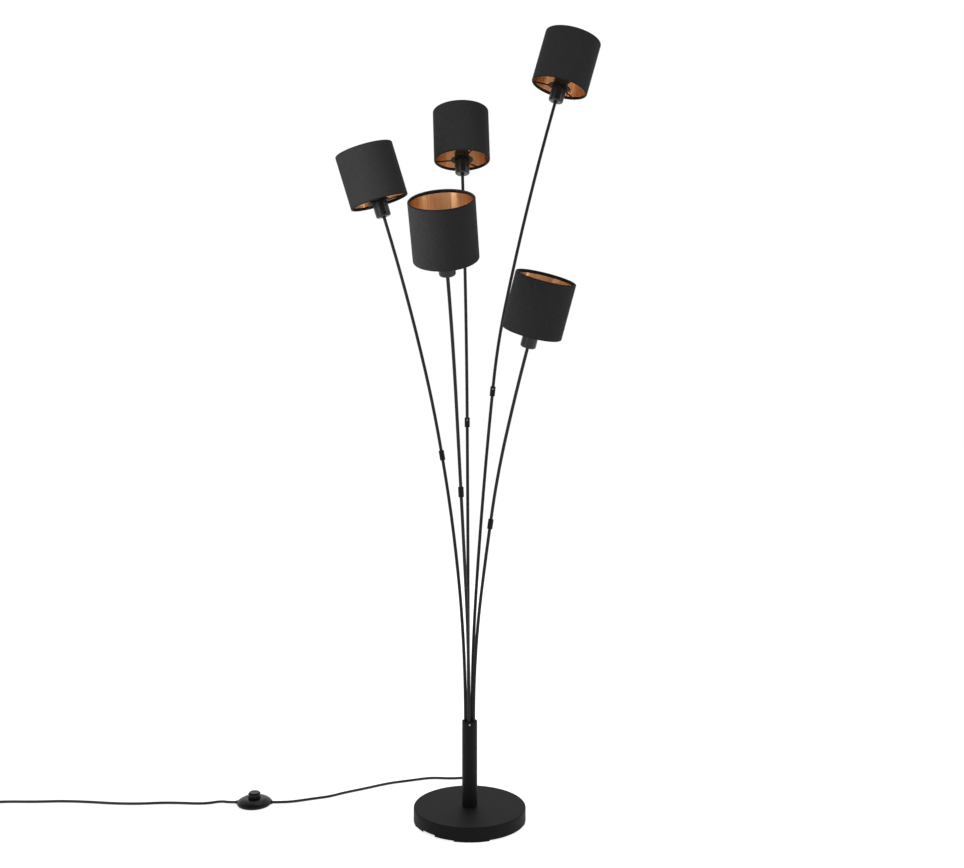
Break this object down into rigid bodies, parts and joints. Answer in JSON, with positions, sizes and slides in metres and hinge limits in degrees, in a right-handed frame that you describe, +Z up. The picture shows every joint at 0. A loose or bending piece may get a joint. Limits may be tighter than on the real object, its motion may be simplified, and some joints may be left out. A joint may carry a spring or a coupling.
{
  "type": "tree floor lamp",
  "caption": "Floor lamp with a weighted round base, a short column and bent rods that fan out, each with a screw-cap lamp socket and a copper-lined fabric drum shade.",
  "frame": {"origin": "on the floor, where the column's axis meets it", "axes": "+Z up along the column, +X to the lamp's right and +Y to its back, seen from the front; the cord leaves at the back"},
  "size_m": [1.2717, 0.5715, 1.4973],
  "materials": {
    "rod_black": "matt black powder coat",
    "base_black": "matt black powder coat",
    "plate_black": "matt black paint",
    "wire_black": "satin black paint",
    "weight_iron": "rough cast",
    "bare_steel": "bare steel",
    "pin_brass": "bright",
    "socket_black": "smooth matt",
    "socket_insert": "smooth",
    "terminal_white": "smooth",
    "shade_fabric": "fine charcoal weave",
    "shade_foil": "copper metallised film",
    "foot_rubber": "matt",
    "cord_rubber": "satin",
    "cord_black": "satin PVC",
    "switch_black": "glossy moulded",
    "plug_black": "fine texture"
  },
  "bodies": {
    "stand": {"left_lower_rod": "rod_black", "back_lower_rod": "rod_black", "front_lower_rod": "rod_black", "top_lower_rod": "rod_black", "right_lower_rod": "rod_black", "base_cover": "base_black", "base_weight": "weight_iron", "base_plate": "plate_black", "base_feet": "foot_rubber", "base_grommet": "cord_rubber", "column_tube": "rod_black", "column_stud": "bare_steel", "column_nut": "bare_steel", "rod_holder": "rod_black", "terminal_block": "terminal_white", "rod_sleeves": "rod_black", "grub_screws": "bare_steel", "cord_lead": "cord_black", "cord_tail": "cord_black", "cord_coil": "cord_black", "switch_base": "switch_black", "switch_cover": "switch_black", "plug_body": "plug_black", "plug_pins": "pin_brass"},
    "switch_button": {"switch_button": "switch_black"},
    "left_arm": {"left_upper_rod": "rod_black", "left_socket_cup": "socket_black", "left_socket_core": "socket_insert", "left_shade_ring": "socket_black", "left_shade_frame": "wire_black", "left_shade_drum": "shade_fabric", "left_shade_lining": "shade_foil"},
    "back_arm": {"back_upper_rod": "rod_black", "back_socket_cup": "socket_black", "back_socket_core": "socket_insert", "back_shade_ring": "socket_black", "back_shade_frame": "wire_black", "back_shade_drum": "shade_fabric", "back_shade_lining": "shade_foil"},
    "front_arm": {"front_upper_rod": "rod_black", "front_socket_cup": "socket_black", "front_socket_core": "socket_insert", "front_shade_ring": "socket_black", "front_shade_frame": "wire_black", "front_shade_drum": "shade_fabric", "front_shade_lining": "shade_foil"},
    "top_arm": {"top_upper_rod": "rod_black", "top_socket_cup": "socket_black", "top_socket_core": "socket_insert", "top_shade_ring": "socket_black", "top_shade_frame": "wire_black", "top_shade_drum": "shade_fabric", "top_shade_lining": "shade_foil"},
    "right_arm": {"right_upper_rod": "rod_black", "right_socket_cup": "socket_black", "right_socket_core": "socket_insert", "right_shade_ring": "socket_black", "right_shade_frame": "wire_black", "right_shade_drum": "shade_fabric", "right_shade_lining": "shade_foil"}
  },
  "joints": [
    {"name": "left_arm_turn", "type": "hinge", "parent": "stand", "child": "left_arm", "pos_m": [-0.05181, -0.00611, 0.68401], "axis": [-0.1664, -0.0231, 0.9858], "range_deg": [-90, 90]},
    {"name": "back_arm_turn", "type": "hinge", "parent": "stand", "child": "back_arm", "pos_m": [-0.00465, 0.02141, 0.74477], "axis": [-0.007, 0.0434, 0.999], "range_deg": [-90, 90]},
    {"name": "front_arm_turn", "type": "hinge", "parent": "stand", "child": "front_arm", "pos_m": [-0.01539, -0.10581, 0.62504], "axis": [-0.0457, -0.3132, 0.9486], "range_deg": [-90, 90]},
    {"name": "top_arm_turn", "type": "hinge", "parent": "stand", "child": "top_arm", "pos_m": [0.04344, 0.01484, 0.80365], "axis": [0.1, 0.0214, 0.9948], "range_deg": [-90, 90]},
    {"name": "right_arm_turn", "type": "hinge", "parent": "stand", "child": "right_arm", "pos_m": [0.03818, -0.03507, 0.55915], "axis": [0.1305, -0.1371, 0.9819], "range_deg": [-90, 90]},
    {"name": "switch_press", "type": "slide", "parent": "stand", "child": "switch_button", "axis": [0, 0, -1], "range_m": [0, 0.004], "stiffness_N_per_m": 400}
  ]
}
